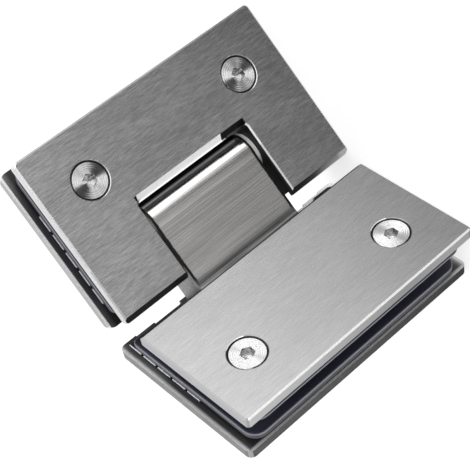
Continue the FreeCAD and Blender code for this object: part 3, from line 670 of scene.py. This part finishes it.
def rounded(corners):
    """Points round an outline of (x, z, radius) corners, with arcs at the outer ones."""
    points = []
    for index, (x, z, radius) in enumerate(corners):
        before, after = corners[index - 1], corners[(index + 1) % len(corners)]
        if not radius:
            points.append(Vector((x, z)))
            continue
        back = (Vector(before[:2]) - Vector((x, z))).normalized() * radius
        on = (Vector(after[:2]) - Vector((x, z))).normalized() * radius
        centre = Vector((x, z)) + back + on
        for step in range(CORNER_STEPS + 1):
            angle = step / CORNER_STEPS * math.pi / 2
            points.append(centre - on * math.cos(angle) - back * math.sin(angle))
    return points


def shrunk(points, inset):
    """The outline moved inwards by an inset."""
    moved = []
    for index, point in enumerate(points):
        back = (point - points[index - 1]).normalized()
        on = (points[(index + 1) % len(points)] - point).normalized()
        side = Vector((-back.y, back.x)) + Vector((-on.y, on.x))
        moved.append(point + side * (inset * 2 / side.length_squared))
    return moved


def gasket(name, body, origin, along, outward, start, end, wall, material):
    """One moulded gasket, from its U shaped outline in a leaf and the profile of its edge."""
    bottom, top = GASKET_INSET, 2 * HALF_WIDTH - GASKET_INSET
    low, high = bottom + GASKET_ARM, top - GASKET_ARM
    outside = [(start, bottom, HINGE_RADIUS), (end, bottom, FAR_RADIUS)]
    outside += [(end, top, FAR_RADIUS), (start, top, HINGE_RADIUS)]
    inside = [(start, high, 0), (wall, high, 0), (wall, low, 0), (start, low, 0)]
    outline = rounded(outside + inside)
    count = len(outline)
    points = []
    for depth, inset in PROFILE:
        level = outward * (GLASS_FACE + depth)
        points += [origin + along * x + level + Vector((0, 0, z)) for x, z in shrunk(outline, inset)]
    faces = [list(range(count)), list(range(len(points) - 1, len(points) - count - 1, -1))]
    for layer in range(len(PROFILE) - 1):
        for index in range(count):
            near, far = layer * count, (layer + 1) * count
            after = (index + 1) % count
            faces.append([near + index, far + index, far + after, near + after])
    mesh = bpy.data.meshes.new(name)
    mesh.from_pydata(points, [], faces)
    shell = bmesh.new()
    shell.from_mesh(mesh)
    bmesh.ops.recalc_face_normals(shell, faces=shell.faces)
    shell.to_mesh(mesh)
    mesh.materials.append(material)
    piece = bpy.data.objects.new(name, mesh)
    bpy.context.collection.objects.link(piece)
    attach(piece, body)
    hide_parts(name.replace("moulded_", ""))


FOOT = Vector((0, 0, -PIN.z))
X_WAY, Y_WAY = Vector((1, 0, 0)), Vector((0, 1, 0))
PIN_FOOT, BEND_FOOT = PIN + FOOT, BEND + FOOT
BOSS = 0.005
door_plastic = gasket_plastic("clear_gasket_door", (0, 1, 0), PIN.y)
fixed_plastic = gasket_plastic("clear_gasket_fixed", SQUARE, BEND.dot(SQUARE))
door_wall = DOOR_SCREW - PIN.x + BOSS
fixed_wall = FIXED_SCREW - BEND.dot(ACROSS) + BOSS
door_edges = (GASKET_INSET - PLATE_START, PLATE_END - FAR_INSET)
for name, way in (("moulded_door_front_gasket", -Y_WAY), ("moulded_door_back_gasket", Y_WAY)):
    gasket(name, "door_leaf", PIN_FOOT, X_WAY, way, *door_edges, door_wall, door_plastic)
for side, way, (start, end) in (("front", SQUARE, FIXED_FRONT), ("back", -SQUARE, FIXED_BACK)):
    edges = (start + GASKET_INSET, end - FAR_INSET)
    name = f"moulded_fixed_{side}_gasket"
    gasket(name, "fixed_leaf", BEND_FOOT, ACROSS, way, *edges, fixed_wall, fixed_plastic)


# Beads of cloudy glue squeeze out along the foot of the back gaskets' ends, in short
# runs, and set hard against the plate.
def node_tree(name, inputs):
    """An empty tree for meshes, with its named inputs."""
    tree = bpy.data.node_groups.new(name, "GeometryNodeTree")
    for label, kind in inputs.items():
        tree.interface.new_socket(name=label, in_out="INPUT", socket_type="NodeSocket" + kind)
    tree.interface.new_socket(name="Mesh", in_out="OUTPUT", socket_type="NodeSocketGeometry")
    return tree, tree.nodes.new("NodeGroupInput").outputs


def stage_of(tree, kind, settings, sockets):
    """Add a node to a tree for meshes, and give back its first output."""
    made = tree.nodes.new("GeometryNode" + kind)
    for name, value in settings.items():
        setattr(made, name, value)
    for name, value in sockets.items():
        for one in value if isinstance(value, list) else [value]:
            if isinstance(one, bpy.types.NodeSocket):
                tree.links.new(one, made.inputs[name])
            else:
                made.inputs[name].default_value = one
    return made.outputs[0]


def finish_tree(tree, instances, material):
    """End a tree with a plain mesh in its material."""
    real = stage_of(tree, "RealizeInstances", {}, {0: instances})
    clad = stage_of(tree, "SetMaterial", {}, {"Geometry": real, "Material": material})
    tree.links.new(clad, tree.nodes.new("NodeGroupOutput").inputs[0])


def grown(name, tree, values, body):
    """A piece with the plain mesh that a tree makes from its inputs."""
    piece = bpy.data.objects.new(name, bpy.data.meshes.new(name))
    bpy.context.collection.objects.link(piece)
    modifier = piece.modifiers.new("grow", "NODES")
    modifier.node_group = tree
    for item in tree.interface.items_tree:
        if item.in_out == "INPUT":
            modifier[item.identifier] = values[item.name]
    evaluated = piece.evaluated_get(bpy.context.evaluated_depsgraph_get())
    mesh = bpy.data.meshes.new_from_object(evaluated)
    piece.modifiers.remove(modifier)
    piece.data = mesh
    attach(piece, body)
    return piece


BEAD_SIDES = 8
bead_tree, given = node_tree("glue_beads", {
    "Start": "Vector", "Step": "Vector", "Count": "Int", "Other Row": "Vector", "Run": "Vector",
    "Radius": "Float", "Material": "Material",
})
row = stage_of(bead_tree, "MeshLine", {"mode": "OFFSET"}, {
    "Count": given["Count"], "Start Location": given["Start"], "Offset": given["Step"],
})
other_row = stage_of(bead_tree, "Transform", {}, {"Geometry": row, "Translation": given["Other Row"]})
rows = stage_of(bead_tree, "JoinGeometry", {}, {0: [row, other_row]})
run = stage_of(bead_tree, "CurvePrimitiveLine", {}, {"End": given["Run"]})
circle = {"Resolution": BEAD_SIDES, "Radius": given["Radius"]}
section = stage_of(bead_tree, "CurvePrimitiveCircle", {}, circle)
swept = {"Curve": run, "Profile Curve": section, "Fill Caps": True}
bead = stage_of(bead_tree, "CurveToMesh", {}, swept)
beads = stage_of(bead_tree, "InstanceOnPoints", {}, {"Points": rows, "Instance": bead})
finish_tree(bead_tree, beads, given["Material"])
glue, glue_field, glue_shader = metal("hard_glue", metallic=0.0, roughness=0.2)
glue_place = glue_field.node("TexCoord", output="Object")
GLUE_CLOUD = (0.0006, 0.0006)
cloudy = grain(glue_field, glue_place, *GLUE_CLOUD) * 0.5 + 0.5
feed(glue_shader, base_color=tinted(glue_field, cloudy, grey(0.2, 0.1), grey(0.8, 0.05)))
BEAD_PITCH = 0.0065
BEAD_RUN = 0.0053
BEAD_RADIUS = 0.00025
BEAD_PROUD = 0.0001
BEAD_HEIGHT = 2 * HALF_WIDTH - GASKET_INSET + BEAD_PROUD
BEAD_SINK = 0.0003
BEAD_DEPTH = INNER_FACE - BEAD_SINK
BEADS_IN_ROW = 5
DOOR_BEADS = -0.0105
FIXED_BEADS = -0.007
LEAVES = {
    "door": ("door_leaf", PIN_FOOT, X_WAY, Y_WAY, DOOR_BEADS, door_wall - BOSS),
    "fixed": ("fixed_leaf", BEND_FOOT, ACROSS, -SQUARE, FIXED_BEADS, fixed_wall - BOSS),
}
for leaf, (body, origin, along, outward, first, screw) in LEAVES.items():
    start = origin + along * first + outward * BEAD_DEPTH + Vector((0, 0, BEAD_HEIGHT))
    across = Vector((0, 0, 2 * HALF_WIDTH - 2 * BEAD_HEIGHT))
    grown(f"{leaf}_glue_beads", bead_tree, {
        "Start": start, "Step": along * BEAD_PITCH, "Count": BEADS_IN_ROW, "Run": along * BEAD_RUN,
        "Other Row": across, "Radius": BEAD_RADIUS, "Material": glue,
    }, body)

# The clamp screws have a fine thread, rolled on the shank between the plates. It
# shows as a spiral ridge in the gap for the glass.
COIL_STEPS = 24
coil_tree, given = node_tree("wound_coils", {
    "Radius": "Float", "Turns": "Float", "Length": "Float", "Ridge": "Float",
    "Sides": "Int", "Count": "Int",
    "Start": "Vector", "Step": "Vector", "Rotation": "Vector", "Material": "Material",
})
spiral = stage_of(coil_tree, "CurveSpiral", {}, {
    "Resolution": COIL_STEPS, "Rotations": given["Turns"], "Start Radius": given["Radius"],
    "End Radius": given["Radius"], "Height": given["Length"],
})
circle = {"Resolution": given["Sides"], "Radius": given["Ridge"]}
section = stage_of(coil_tree, "CurvePrimitiveCircle", {}, circle)
swept = {"Curve": spiral, "Profile Curve": section, "Fill Caps": True}
ridge = stage_of(coil_tree, "CurveToMesh", {}, swept)
pair = stage_of(coil_tree, "MeshLine", {"mode": "OFFSET"}, {
    "Count": given["Count"], "Start Location": given["Start"], "Offset": given["Step"],
})
sockets = {"Points": pair, "Instance": ridge, "Rotation": given["Rotation"]}
finish_tree(coil_tree, stage_of(coil_tree, "InstanceOnPoints", {}, sockets), given["Material"])
THREAD_RADIUS = 0.003
THREAD_RIDGE = 0.00025
THREAD_PITCH = 0.001
THREAD_LENGTH = 0.0064
THREAD_START = -0.0062
THREAD_SIDES = 4
for leaf, (body, origin, along, outward, first, screw) in LEAVES.items():
    lowest = Vector((0, 0, PIN.z - SCREW_HEIGHT))
    turned_way = outward.to_track_quat("Z", "X").to_euler()
    grown(f"{leaf}_screw_threads", coil_tree, {
        "Radius": THREAD_RADIUS, "Turns": THREAD_LENGTH / THREAD_PITCH, "Length": THREAD_LENGTH,
        "Ridge": THREAD_RIDGE, "Sides": THREAD_SIDES, "Count": 2, "Material": bright_steel,
        "Start": origin + along * screw + outward * THREAD_START + lowest,
        "Step": Vector((0, 0, 2 * SCREW_HEIGHT)), "Rotation": Vector(turned_way),
    }, body)

# Behind each plunger sits a coil spring of drawn wire, blued a little by tempering. It
# bears on the plug at its other end.
WIRE_RADIUS = 0.00045
WIRE_SIDES = 10
SPRING_TURNS = 4.0
spring_wire = ground("tempered_wire", (0.3, 0.3, 0.34), (0.45, 0.45, 0.48), 0.3, 0.0012)
spring_way = X_WAY.to_track_quat("Z", "Y").to_euler()
for end in ("lower", "upper"):
    node, press = f"{end}_plunger_spring", f"{end}_plunger_press"
    low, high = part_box(node)
    centre = (low + high) / 2
    travel = max(abs(limit) for limit in joints[press]["range_m"])
    spring = grown(f"wound_{end}_spring", coil_tree, {
        "Radius": (high.z - low.z) / 2 - WIRE_RADIUS, "Turns": SPRING_TURNS, "Ridge": WIRE_RADIUS,
        "Length": high.x - low.x - 2 * WIRE_RADIUS, "Sides": WIRE_SIDES, "Count": 1,
        "Start": Vector((low.x + WIRE_RADIUS, centre.y, centre.z)), "Step": Vector((0, 0, 0)),
        "Rotation": Vector(spring_way), "Material": spring_wire,
    }, "fixed_leaf")
    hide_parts(node)
    shortened = 1 - travel / (high.x - low.x)
    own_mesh(spring)

bounds = {"cad": cad_bounds, "visual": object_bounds()}
{name: [list(corner) for corner in pair] for name, pair in bounds.items()}
